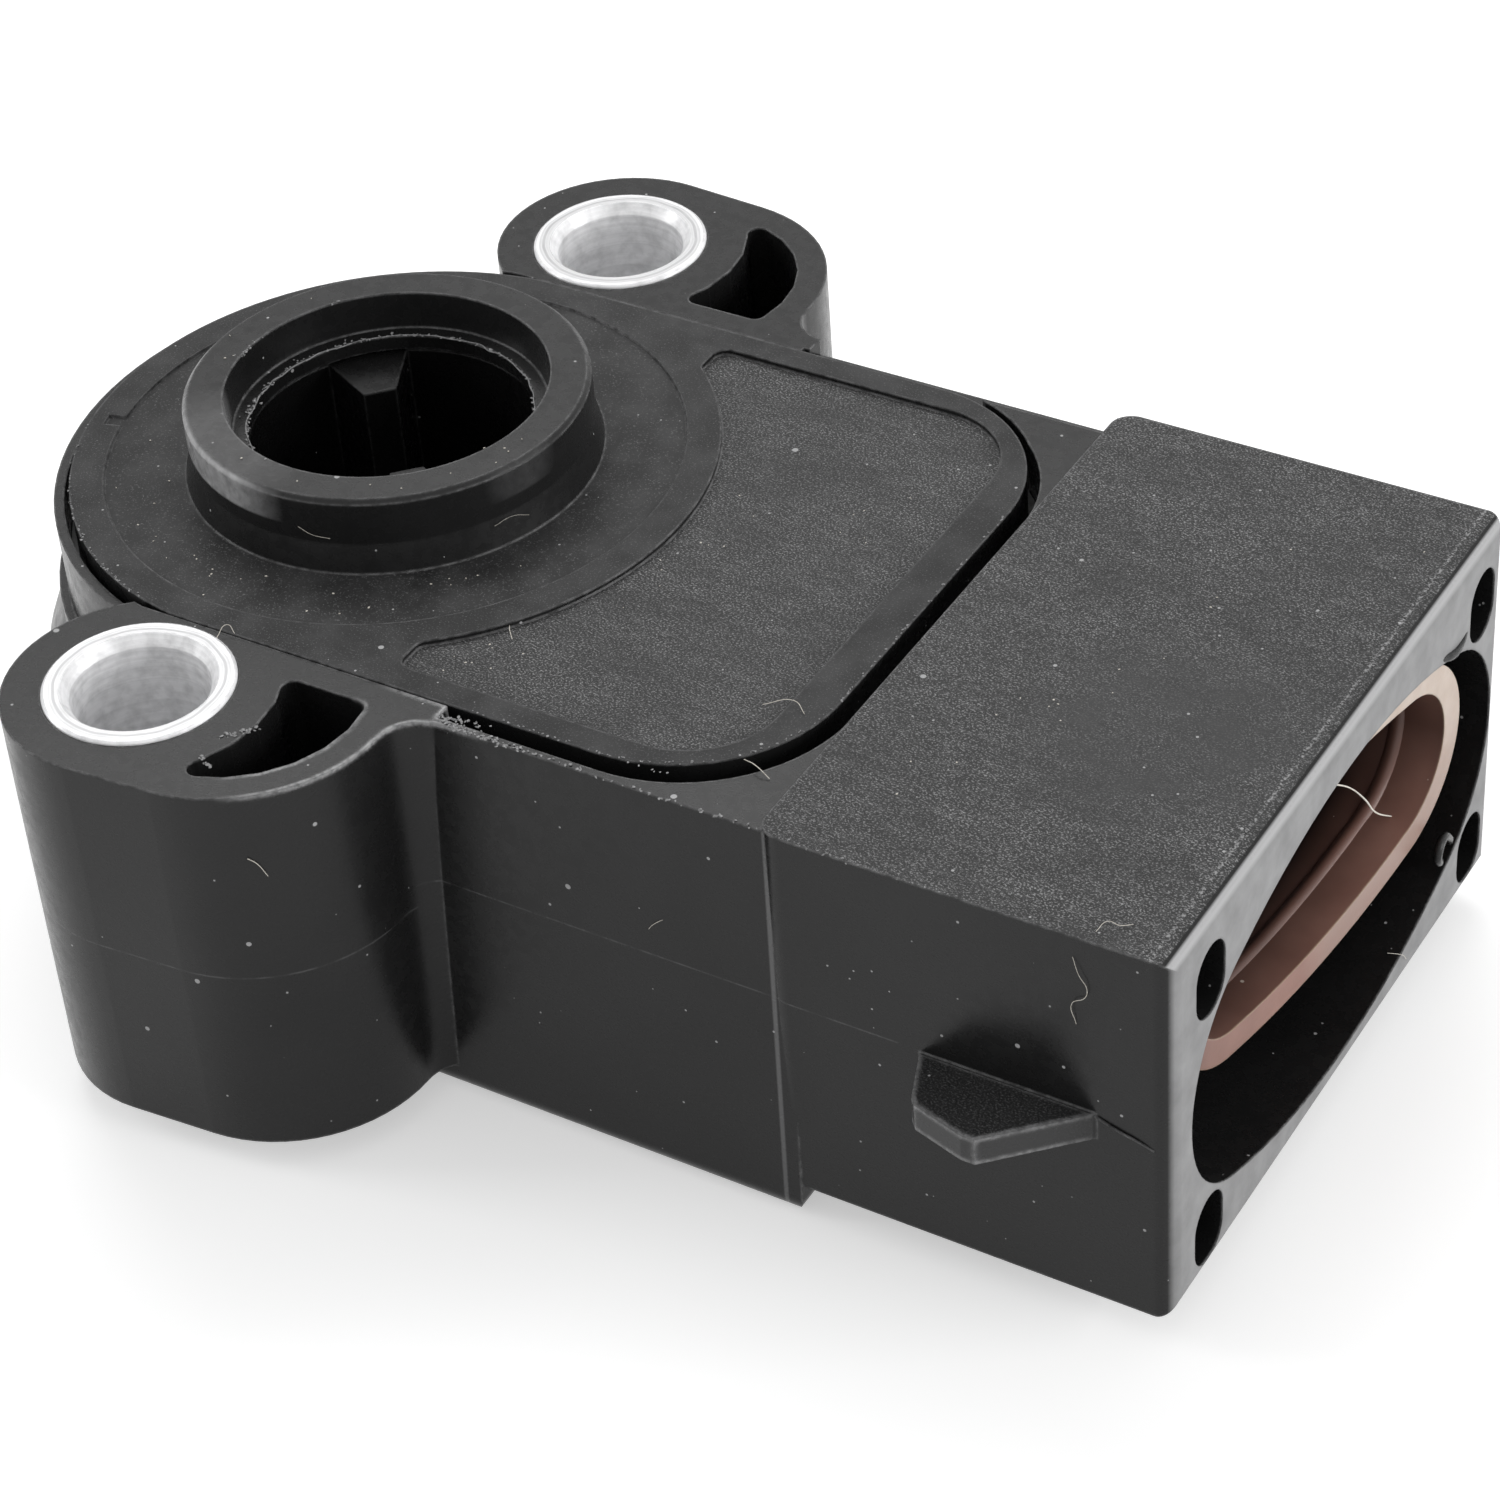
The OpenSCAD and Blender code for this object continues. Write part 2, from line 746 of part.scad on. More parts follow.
module connector_seal() {
    rim_x = front_x - seal_in;
    ridge_x = block_end_x + ridge_out;
    color([0.62, 0.45, 0.4])
    difference() {
        along_x(mouth_floor_x, rim_x + 1)
            translate([seal_y, -seal_z])
                seal_oval(0);
        difference() {
            along_x(mouth_floor_x - 1, front_x)
                translate([seal_y, -seal_z])
                    seal_oval(-seal_wall);
            // Sealing ridge that runs round the inside
            difference() {
                along_x(ridge_x, ridge_x + ridge_w)
                    translate([seal_y, -seal_z])
                        seal_oval(0);
                along_x(ridge_x - ridge_w, ridge_x + 2 * ridge_w)
                    translate([seal_y, -seal_z])
                        seal_oval(-seal_wall - seal_ridge);
            }
        }
        // The rim is cut on a slant, deeper on the near side
        translate([rim_x, seal_y, -seal_z])
            rotate([0, 0, -seal_slant])
                translate([0, -far / 2, -far / 2])
                    cube([far, far, far]);
    }
}

// Blade through the end wall, with a leg down to its pad on the board
module terminal(y) {
    color([0.8, 0.79, 0.74])
    translate([0, y, 0]) {
        translate([0, pin_w / 2, -seal_z])
            rotate([90, 0, 0])
                linear_extrude(pin_w)
                    polygon([
                        [pin_root_x, -pin_t / 2], [pin_tip_x - pin_t, -pin_t / 2],
                        [pin_tip_x, -pin_t / 5], [pin_tip_x, pin_t / 5],
                        [pin_tip_x - pin_t, pin_t / 2], [pin_root_x, pin_t / 2]
                    ]);
        translate([pin_root_x, -pin_w / 2, board_top + track_t])
            cube([pin_t, pin_w, -seal_z - board_top - track_t]);
    }
}

module terminal_supply() {
    terminal(pins[0]);
}

module terminal_signal() {
    terminal(pins[1]);
}

module terminal_ground() {
    terminal(pins[2]);
}

module terminal_sealant() {
    color([0.25, 0.2, 0.15])
    difference() {
        along_x(cavity_end_x + insert_gap, cavity_end_x + sealant_len)
            translate([seal_y, -seal_z])
                square([well_w - 2 * insert_gap, well_h - 2 * insert_gap], center = true);
        terminal_slots();
    }
}

// Adhesive that lies in the bottom of the open groove
module cover_sealant() {
    color([0.05, 0.05, 0.05])
    difference() {
        translate([0, 0, -cover_t])
            linear_extrude(bead_t)
                difference() {
                    recess_plan(-insert_gap);
                    cover_plan(insert_gap);
                }
        for (s = [-1, 1])
            translate([ear_zone[0] - insert_gap, s > 0 ? 0 : -far, -far / 2])
                cube([ear_zone[1] - ear_zone[0] + 2 * insert_gap, far, far]);
    }
}

module drive_tab() {
    translate([0, 0, socket_bottom - eps])
        linear_extrude(rotor_top - socket_bottom + eps)
            polygon([
                [tab_in, -tab_in_w / 2], [socket_r + 0.2, -tab_out_w / 2],
                [socket_r + 0.2, tab_out_w / 2], [tab_in, tab_in_w / 2]
            ]);
}

module rotor() {
    color([0.12, 0.12, 0.125]) {
        difference() {
            union() {
                translate([0, 0, flange_top - eps])
                    cylinder(r = rotor_r, h = rotor_top - flange_top + eps);
                translate([0, 0, flange_bottom])
                    cylinder(r = flange_r, h = flange_t);
                translate([0, 0, post_top + washer_t + run_gap])
                    cylinder(r = post_r, h = flange_bottom - post_top - washer_t);
                translate([0, 0, journal_bottom])
                    cylinder(r = journal_r, h = flange_bottom - journal_bottom);
            }
            translate([0, 0, socket_bottom])
                cylinder(r = socket_r, h = far);
            for (a = rivet_angles)
                rotate([0, 0, a])
                    translate([rivet_radius, 0, flange_bottom - rivet_deep])
                        cylinder(r = rivet_r + insert_gap, h = 2 * rivet_deep, $fn = 32);
        }
        for (a = [0, 180])
            rotate([0, 0, tab_angle + a])
                drive_tab();
    }
}

// Spring plate under the flange, with one sprung arm down to each track
module wiper() {
    plate_z = flange_bottom - wiper_t;
    drop = plate_z - track_top - run_gap;
    color([0.85, 0.68, 0.35]) {
        translate([0, 0, plate_z])
            linear_extrude(wiper_t)
                difference() {
                    intersection() {
                        circle(flange_r - 0.3);
                        rotate([0, 0, wiper_angle - wiper_half_angle])
                            polygon([
                                [0, 0], [far, 0],
                                [far * cos(2 * wiper_half_angle), far * sin(2 * wiper_half_angle)]
                            ]);
                    }
                    circle(track_inner - track_w);
                    for (a = rivet_angles)
                        rotate([0, 0, a])
                            translate([rivet_radius, 0])
                                circle(rivet_r + insert_gap, $fn = 32);
                }
        for (r = [track_inner, track_outer])
            rotate([0, 0, wiper_angle])
                translate([sqrt(r * r - arm_len * arm_len), 0, plate_z])
                    rotate([90, 0, 90])
                        translate([0, 0, -arm_w / 2])
                            linear_extrude(arm_w)
                                polygon([
                                    [-arm_foot, 0], [-arm_foot, eps], [0, eps],
                                    [arm_len - arm_foot / 2, wiper_t - drop], [arm_len, wiper_t - drop],
                                    [arm_len, -drop], [arm_len - arm_foot, -drop]
                                ]);
    }
}

module wiper_rivets() {
    color([0.7, 0.6, 0.4])
    for (a = rivet_angles)
        rotate([0, 0, a])
            translate([rivet_radius, 0, flange_bottom - wiper_t - rivet_head]) {
                cylinder(r = rivet_r, h = wiper_t + rivet_head + rivet_deep - insert_gap, $fn = 32);
                cylinder(r = rivet_r + rivet_head, h = rivet_head, $fn = 32);
            }
}

module thrust_washer() {
    color([0.75, 0.76, 0.78])
    translate([0, 0, post_top])
        difference() {
            cylinder(r = post_r - 0.1, h = washer_t);
            translate([0, 0, -washer_t])
                cylinder(r = journal_r + 0.3, h = 3 * washer_t);
        }
}

// Centre line of the return spring at a fraction of its length
function spring_point(t) = let (a = tab_angle + 360 * spring_turns * t)
    [spring_r * cos(a), spring_r * sin(a), spring_low + (spring_high - spring_low) * t];

module return_spring() {
    rings = 84;
    sides = 8;
    points = [
        for (i = [0:rings], j = [0:sides - 1])
            let (
                p = spring_point(i / rings),
                a = tab_angle + 360 * spring_turns * i / rings,
                b = 360 * j / sides
            )
            p + spring_wire_r * [cos(b) * cos(a), cos(b) * sin(a), sin(b)]
    ];
    walls = [
        for (i = [0:rings - 1], j = [0:sides - 1])
            let (k = (j + 1) % sides)
            [i * sides + j, i * sides + k, (i + 1) * sides + k, (i + 1) * sides + j]
    ];
    start = [for (j = [sides - 1:-1:0]) j];
    end = [for (j = [0:sides - 1]) rings * sides + j];
    color([0.6, 0.62, 0.65])
        polyhedron(points, concat(walls, [start], [end]));
}

module board_plan() {
    circle(board_r);
    translate([0, -board_half_w])
        square([board_end_x, 2 * board_half_w]);
}

module resistor_board() {
    color([0.9, 0.9, 0.86])
    translate([0, 0, cavity_floor])
        linear_extrude(board_t)
            difference() {
                board_plan();
                circle(post_r + 0.3);
            }
}

// Printed arc that stays under the wiper over its whole travel
module track(mean_r) {
    start = wiper_angle - wiper_half_angle;
    sweep = travel + 4 * wiper_half_angle;
    translate([0, 0, board_top])
        rotate([0, 0, start])
            rotate_extrude(angle = sweep, $fn = 180)
                translate([mean_r - track_w / 2, 0])
                    square([track_w, track_t]);
}

module resistance_track() {
    color([0.1, 0.1, 0.1])
        track(track_outer);
}

module collector_track() {
    color([0.15, 0.14, 0.13])
        track(track_inner);
}

module conductor_pads() {
    color([0.8, 0.8, 0.78])
    for (y = pins)
        translate([pad_x - pad_len / 2, y - pin_w / 2 - 0.3, board_top])
            cube([pad_len, pin_w + 0.6, track_t]);
}

module solder_joints() {
    color([0.72, 0.73, 0.75])
    for (y = pins)
        translate([pin_root_x - solder_h, y, board_top + track_t])
            rotate([90, 0, 0])
                translate([0, 0, -pin_w / 2])
                    linear_extrude(pin_w)
                        polygon([[0, 0], [solder_h, 0], [solder_h, solder_h]]);
}

housing();
cover();
bush_near();
bush_far();
connector_seal();
terminal_supply();
terminal_signal();
terminal_ground();
terminal_sealant();
cover_sealant();
rotor();
wiper();
wiper_rivets();
thrust_washer();
return_spring();
resistor_board();
resistance_track();
collector_track();
conductor_pads();
solder_joints();
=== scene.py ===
"""Looks of a throttle position sensor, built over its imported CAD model.

Lengths are metres in the frame of the CAD model: the origin is on the rotor axis in the mounting
face, +Z runs out of the spigot and +X towards the connector. Places and sizes of patterns and of
small marks are given in millimetres, and are scaled when they are used.
"""

import math
import random

import bmesh
import bpy
from mathutils import Matrix, Vector


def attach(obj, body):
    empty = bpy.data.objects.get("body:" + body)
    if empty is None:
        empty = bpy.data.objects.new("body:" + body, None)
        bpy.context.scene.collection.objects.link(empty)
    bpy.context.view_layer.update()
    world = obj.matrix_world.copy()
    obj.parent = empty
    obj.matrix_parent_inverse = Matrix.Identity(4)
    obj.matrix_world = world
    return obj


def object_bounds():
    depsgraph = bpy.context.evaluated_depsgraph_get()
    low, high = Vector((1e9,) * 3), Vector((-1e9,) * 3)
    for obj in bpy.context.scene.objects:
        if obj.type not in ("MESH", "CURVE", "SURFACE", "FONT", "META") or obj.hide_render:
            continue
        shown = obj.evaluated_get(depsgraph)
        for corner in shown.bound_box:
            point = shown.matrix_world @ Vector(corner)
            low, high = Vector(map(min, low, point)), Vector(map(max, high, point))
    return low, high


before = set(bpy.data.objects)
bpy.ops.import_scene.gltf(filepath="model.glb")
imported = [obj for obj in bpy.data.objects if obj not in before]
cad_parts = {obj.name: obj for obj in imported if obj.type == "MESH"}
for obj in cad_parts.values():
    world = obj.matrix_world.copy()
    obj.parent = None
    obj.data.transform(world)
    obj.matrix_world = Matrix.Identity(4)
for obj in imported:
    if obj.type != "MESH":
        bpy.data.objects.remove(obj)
cad_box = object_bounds()

MM = 0.001
WHITE = (1, 1, 1, 1)
CHANCE = random.Random(7)

# In millimetres: the bushes' distance from the middle, and the heights of crumbs that lie on the
# cover's plate, on the lip inside its spigot and on the shroud
BUSH_Y = 18.43
ON_PLATE = 0.02
ON_LIP = 1.72
ON_SHROUD = 0.16

# Two heights above the part, for plastics without flecks
NO_FLECKS = (5, 6)


# Camera, floor and light


def photo_camera():
    """Camera at the photograph's viewing angle and framing."""
    azimuth = math.radians(33.413)
    elevation = math.radians(38.666)
    roll = math.radians(-4.602)
    eye = Vector((94.37, -117.19, 101.56)) * MM
    back = Vector((
        math.sin(azimuth) * math.cos(elevation),
        -math.cos(azimuth) * math.cos(elevation),
        math.sin(elevation),
    ))
    right = Vector((math.cos(azimuth), math.sin(azimuth), 0))
    up = back.cross(right)
    across = math.cos(roll) * right + math.sin(roll) * up
    upward = math.cos(roll) * up - math.sin(roll) * right
    data = bpy.data.cameras.new("camera")
    data.sensor_width = 36
    data.lens = 100.03
    data.clip_start = 0.01
    data.clip_end = 10
    camera = bpy.data.objects.new("camera", data)
    bpy.context.scene.collection.objects.link(camera)
    turn = Matrix((across, upward, back)).transposed().to_4x4()
    camera.matrix_world = Matrix.Translation(eye) @ turn
    bpy.context.scene.camera = camera


def softbox(name, place, aim, width, height, power):
    """A rectangular lamp of a width and height in metres and a power in watts."""
    data = bpy.data.lights.new(name, "AREA")
    data.shape = "RECTANGLE"
    data.size = width
    data.size_y = height
    data.energy = power
    lamp = bpy.data.objects.new(name, data)
    bpy.context.scene.collection.objects.link(lamp)
    lamp.location = place
    lamp.rotation_euler = (Vector(aim) - Vector(place)).to_track_quat("-Z", "Y").to_euler()


def join(tree, operation, first, second):
    """A Math node over two values, each a number or a socket."""
    node = tree.nodes.new("ShaderNodeMath")
    node.operation = operation
    for socket, value in zip(node.inputs, (first, second)):
        if isinstance(value, (int, float)):
            socket.default_value = value
        else:
            tree.links.new(value, socket)
    return node.outputs[0]


def seen_directly(tree):
    """One for rays from the camera, also by mirrors and through glass, and none for the others."""
    path = tree.nodes.new("ShaderNodeLightPath").outputs
    seen = join(tree, "MAXIMUM", path["Is Camera Ray"], path["Is Glossy Ray"])
    return join(tree, "MAXIMUM", seen, path["Is Transmission Ray"])


def white_surroundings():
    """Grey light from all round, behind a white background."""
    world = bpy.data.worlds.new("studio")
    bpy.context.scene.world = world
    world.use_nodes = True
    tree = world.node_tree
    lit = tree.nodes["Background"]
    lit.inputs["Color"].default_value = (0.5, 0.5, 0.5, 1)
    glow = tree.nodes.new("ShaderNodeBackground")
    glow.inputs["Color"].default_value = WHITE
    mix = tree.nodes.new("ShaderNodeMixShader")
    tree.links.new(seen_directly(tree), mix.inputs[0])
    tree.links.new(lit.outputs[0], mix.inputs[1])
    tree.links.new(glow.outputs[0], mix.inputs[2])
    tree.links.new(mix.outputs[0], tree.nodes["World Output"].inputs["Surface"])


def pale_floor():
    """A plain floor under the part that is near white and keeps its shadow."""
    mesh = bpy.data.meshes.new("floor")
    form = bmesh.new()
    bmesh.ops.create_grid(form, x_segments=1, y_segments=1, size=2)
    bmesh.ops.translate(form, verts=form.verts, vec=(0, 0, cad_box[0].z))
    form.to_mesh(mesh)
    form.free()
    floor = bpy.data.objects.new("floor", mesh)
    bpy.context.scene.collection.objects.link(floor)
    paint = bpy.data.materials.new("pale_floor")
    paint.use_nodes = True
    tree = paint.node_tree
    shader = tree.nodes["Principled BSDF"].inputs
    shader["Base Color"].default_value = (0.82, 0.82, 0.82, 1)
    shader["Roughness"].default_value = 0.9
    shader["Specular IOR Level"].default_value = 0
    shader["Emission Color"].default_value = WHITE
    strength = join(tree, "MULTIPLY", seen_directly(tree), 0.45)
    tree.links.new(strength, shader["Emission Strength"])
    mesh.materials.append(paint)


def studio():
    """Surroundings, floor, and soft lamps above, to the left and before the connector."""
    white_surroundings()
    pale_floor()
    spigot, connector = (0, 0, 0), (0.04, 0, 0)
    softbox("top_light", (-0.14, 0.22, 0.36), spigot, width=0.34, height=0.22, power=0.8)
    softbox("side_light", (-0.40, -0.16, 0.20), spigot, width=0.14, height=0.30, power=0.5)
    softbox("plug_light", (0.42, 0.08, 0.10), connector, width=0.26, height=0.20, power=1.1)
    bpy.context.scene.view_settings.view_transform = "Standard"


# What the finishes are made of


def grey(value):
    """A grey of a linear value, with a trace of blue."""
    return (value, value, value * 1.01, 1)


class Finish:
    """A material with one shader, and the few patterns that these finishes are made of."""

    def __init__(self, name, roughness, metallic=0.0, gloss=0.5):
        self.material = bpy.data.materials.new(name)
        self.material.use_nodes = True
        self.tree = self.material.node_tree
        self.shader = self.tree.nodes["Principled BSDF"]
        self.shader.inputs["Roughness"].default_value = roughness
        self.shader.inputs["Metallic"].default_value = metallic
        self.shader.inputs["Specular IOR Level"].default_value = gloss
        self.place = self.new("ShaderNodeTexCoord").outputs["Object"]
        self.split = self.new("ShaderNodeSeparateXYZ")
        self.link(self.place, self.split.inputs[0])
        self.normal = self.new("ShaderNodeNewGeometry").outputs["Normal"]
        self.look = self.new("ShaderNodeSeparateXYZ")
        self.link(self.normal, self.look.inputs[0])

    def new(self, kind):
        """A new node in the material."""
        return self.tree.nodes.new(kind)

    def link(self, source, target):
        """Joins an output to an input."""
        self.tree.links.new(source, target)

    def math(self, operation, first, second=0.0):
        """The result of an operation on one or two values, each a number or a socket."""
        return join(self.tree, operation, first, second)

    def both(self, *masks):
        """The product of several masks."""
        product = masks[0]
        for mask in masks[1:]:
            product = self.math("MULTIPLY", product, mask)
        return product

    def spread(self, value, low, high, start=0.0, end=1.0):
        """A value of low gives start, and one of high gives end."""
        node = self.new("ShaderNodeMapRange")
        self.link(value, node.inputs["Value"])
        node.inputs["From Min"].default_value = low
        node.inputs["From Max"].default_value = high
        node.inputs["To Min"].default_value = start
        node.inputs["To Max"].default_value = end
        return node.outputs["Result"]

    def grain(self, size, detail=2.0, stretch=(1, 1, 1), harshness=0.55, turn=0.0):
        """Cloudy grain whose lumps are about size millimetres across."""
        mapping = self.new("ShaderNodeMapping")
        mapping.inputs["Rotation"].default_value = (0, 0, math.radians(turn))
        mapping.inputs["Scale"].default_value = [1 / s for s in stretch]
        self.link(self.place, mapping.inputs["Vector"])
        node = self.new("ShaderNodeTexNoise")
        node.inputs["Scale"].default_value = 1 / (size * MM)
        node.inputs["Detail"].default_value = detail
        node.inputs["Roughness"].default_value = harshness
        self.link(mapping.outputs[0], node.inputs["Vector"])
        return node.outputs["Fac"]

    def specks(self, spacing, size):
        """Scattered specks of mixed sizes, about one to each cell, in millimetres."""
        node = self.new("ShaderNodeTexVoronoi")
        node.inputs["Scale"].default_value = 1 / (spacing * MM)
        self.link(self.place, node.inputs["Vector"])
        tint = self.new("ShaderNodeSeparateColor")
        self.link(node.outputs["Color"], tint.inputs[0])
        edge = self.math("MULTIPLY", tint.outputs["Red"], size / spacing)
        return self.math("LESS_THAN", node.outputs["Distance"], edge)

    def axis(self, name):
        """The place along an axis in metres."""
        return self.split.outputs[name]

    def between(self, name, low, high, blur=0.02):
        """One between two places on an axis in millimetres, and none elsewhere."""
        rise = self.spread(self.axis(name), (low - blur) * MM, low * MM)
        fall = self.spread(self.axis(name), high * MM, (high + blur) * MM, 1, 0)
        return self.both(rise, fall)

    def near(self, point, reach):
        """One close round a point in millimetres, fading to none at the reach."""
        gap = self.new("ShaderNodeVectorMath")
        gap.operation = "DISTANCE"
        self.link(self.place, gap.inputs[0])
        gap.inputs[1].default_value = Vector(point) * MM
        return self.spread(gap.outputs["Value"], reach * 0.5 * MM, reach * MM, 1, 0)

    def facing(self, name, low=0.7, high=0.95):
        """One on faces that look along an axis, by how much of their normal lies on it."""
        return self.spread(self.look.outputs[name], low, high)

    def blend(self, factor, first, second):
        """Mixes two colours, each a constant or a socket."""
        node = self.new("ShaderNodeMix")
        node.data_type = "RGBA"
        self.link(factor, node.inputs[0])
        for socket, colour in zip(node.inputs[6:8], (first, second)):
            if isinstance(colour, tuple):
                socket.default_value = colour
            else:
                self.link(colour, socket)
        return node.outputs[2]

    def rounded(self, radius):
        """Normal with the edges rounded over by a radius in millimetres, and a mask of them."""
        bevel = self.new("ShaderNodeBevel")
        bevel.samples = 4
        bevel.inputs["Radius"].default_value = radius * MM
        turn = self.new("ShaderNodeVectorMath")
        turn.operation = "DOT_PRODUCT"
        self.link(bevel.outputs[0], turn.inputs[0])
        self.link(self.normal, turn.inputs[1])
        return bevel.outputs[0], self.spread(turn.outputs["Value"], 0.99, 0.87)

    def relief(self, height, depth, normal=None, strength=1.0):
        """Bumps of a depth in millimetres."""
        node = self.new("ShaderNodeBump")
        node.inputs["Strength"].default_value = strength
        node.inputs["Distance"].default_value = depth * MM
        self.link(height, node.inputs["Height"])
        if normal is not None:
            self.link(normal, node.inputs["Normal"])
        self.link(node.outputs[0], self.shader.inputs["Normal"])

    def colour(self, value):
        """Takes a socket as the base colour."""
        self.link(value, self.shader.inputs["Base Color"])

    def roughness(self, value):
        """Takes a socket as the roughness."""
        self.link(value, self.shader.inputs["Roughness"])


# Finishes


class Moulding(Finish):
    """Black glass-filled plastic, with fibre flecks on the flat tops between two heights.

    Smooth faces are glossy, the flecked ones are satin, and edges are painted pale, partly as
    rubbing and partly as painted highlights.
    """

    def __init__(self, name, flecks, shade=0.009, gloss=0.25, wear_and_highlight=1.0):
        super().__init__(name, 0.3, gloss=gloss)
        self.fine = self.grain(0.07, stretch=(1.4, 1, 1), harshness=0.65, turn=20)
        self.ground = self.both(self.facing("Z"), self.between("Z", *flecks))
        streaks = self.grain(0.2, detail=3, stretch=(4, 1, 1), harshness=0.6, turn=12)
        cloud = self.grain(2.4, detail=6, stretch=(2.2, 1, 1), harshness=0.75, turn=15)
        haze = self.grain(9)
        self.patch = self.spread(cloud, 0.36, 0.64, 0.45, 1)
        sparkle = self.both(self.spread(self.fine, 0.52, 0.66), self.ground, self.patch)
        brushed = self.both(self.spread(streaks, 0.48, 0.7), self.ground, self.patch)
        self.shown = self.blend(self.spread(haze, 0.35, 0.65), grey(shade), grey(shade * 1.5))
        self.cover(self.both(self.ground, self.spread(cloud, 0.3, 0.7, 0.75, 1)), grey(0.022))
        self.cover(self.math("MULTIPLY", brushed, 0.44), grey(0.11))
        self.cover(self.math("MULTIPLY", sparkle, 0.78), grey(0.4))
        self.bevel, edges = self.rounded(0.17)
        # Pale edges: partly rubbed wear and partly a painted highlight along every edge
        rubs_and_highlights = self.spread(self.grain(0.45, detail=4), 0.38, 0.6, 0.25 * wear_and_highlight, 0.9 * wear_and_highlight)
        self.cover(self.both(edges, rubs_and_highlights), grey(0.26))

    def cover(self, mask, colour):
        """Lays a colour over what is there, as far as the mask says."""
        self.shown = self.blend(mask, self.shown, colour)

    def finished(self, satin):
        """Adds dust and the surface, rougher as far as the mask satin says."""
        dust = self.math("MAXIMUM", self.specks(0.95, 0.07), self.specks(2.6, 0.14))
        self.cover(self.math("MULTIPLY", dust, 0.85), grey(0.45))
        self.colour(self.shown)
        gloss = self.spread(self.grain(0.6, detail=4), 0.3, 0.7, 0.2, 0.34)
        self.roughness(self.math("MAXIMUM", gloss, self.math("MULTIPLY", satin, 0.6)))
        self.relief(self.fine, 0.012, self.bevel, 0.45)
        return self.material


def housing_black():
    """The housing's plastic: parting line, rubbed edges, latch wedges with painted edge
    highlights, a painted highlight at the step to the shroud, and a pale end face, partly ground
    and partly a painted sheen.
    """
    skin = Moulding("black_plastic", (0.10, 0.20))

    # Smoother patch on the shroud's top
    smooth = skin.spread(skin.grain(1.5, detail=3), 0.3, 0.6, 0.2, 0.75)
    skin.cover(skin.both(skin.ground, skin.near((38.6, -3.2, 0.15), 7), smooth), grey(0.045))

    # Parting line, lower on the ears than on the body, and lost before the wedges
    ear = skin.spread(skin.math("ABSOLUTE", skin.axis("Y")), 16.2 * MM, 16.3 * MM)
    body_line = skin.between("Z", -8.36, -8.32, 0.03)
    ear_line = skin.between("Z", -9.46, -9.42, 0.03)
    upright = skin.spread(skin.math("ABSOLUTE", skin.look.outputs["Z"]), 0.4, 0.2)
    broken = skin.spread(skin.grain(1.2, detail=3), 0.42, 0.58, 0.15, 0.8)
    body_part = skin.spread(skin.axis("X"), 33.2 * MM, 33 * MM)
    line = skin.blend(ear, body_line, ear_line)
    skin.cover(skin.both(line, upright, broken, body_part), grey(0.09))

    # Edge of the near ear that is rubbed pale
    rubbed = skin.math("MAXIMUM", skin.near((9.2, -20.2, 0), 3.6), skin.near((11.6, -16, 0), 3.4))
    blotches = skin.spread(skin.grain(0.3, detail=4), 0.35, 0.6, 0.35, 1)
    soft_edges = skin.rounded(0.42)[1]
    skin.cover(skin.both(rubbed, soft_edges, blotches), grey(0.6))

    # Near latch wedge: flecked top, lighter faces towards -Y, and painted highlights on its edges
    outside = skin.spread(skin.axis("Y"), -15.7 * MM, -15.75 * MM)
    wedge = skin.both(skin.near((37.2, -17.6, -9.3), 6), outside)
    skin.cover(skin.both(wedge, skin.spread(skin.fine, 0.5, 0.7, 0.08, 0.8)), grey(0.13))
    skin.cover(skin.both(wedge, skin.facing("Y", -0.3, -0.7)), grey(0.035))
    # Painted highlights on the wedge's rounded edges
    pale = skin.spread(blotches, 0.35, 1, 0.4, 0.9)
    skin.cover(skin.both(wedge, soft_edges, pale), grey(0.4))

    # Painted highlight along the crease where the body steps out to the shroud
    step = skin.both(skin.between("X", 27.4, 27.52, 0.08), skin.facing("Y", -0.5, -0.8))
    skin.cover(skin.both(step, skin.spread(skin.axis("Y"), -15.1 * MM, -15.2 * MM)), grey(0.13))

    # Front face, pale partly as a ground finish and partly as a painted sheen, with a painted
    # highlight on its upper edge and torn dots behind that
    outer = skin.between("X", 43.9, 46)
    rim = skin.both(skin.facing("X", 0.62, 0.85), outer)
    tone = skin.blend(skin.spread(skin.grain(1.6, detail=4), 0.3, 0.7), grey(0.2), grey(0.28))
    skin.cover(rim, tone)
    # Painted highlight on the front face's rounded upper edge
    front_edge_highlight = skin.both(skin.facing("X", 0.5, 0.62), skin.facing("X", 0.92, 0.8), outer)
    skin.cover(skin.both(front_edge_highlight, skin.spread(skin.look.outputs["Z"], 0.1, 0.3)), grey(0.4))
    dots = skin.spread(skin.grain(0.16, detail=3), 0.5, 0.6)
    skin.cover(skin.both(skin.ground, skin.between("X", 43.86, 43.94, 0.06), dots), grey(0.3))
    return skin.finished(skin.math("MAXIMUM", skin.ground, rim))


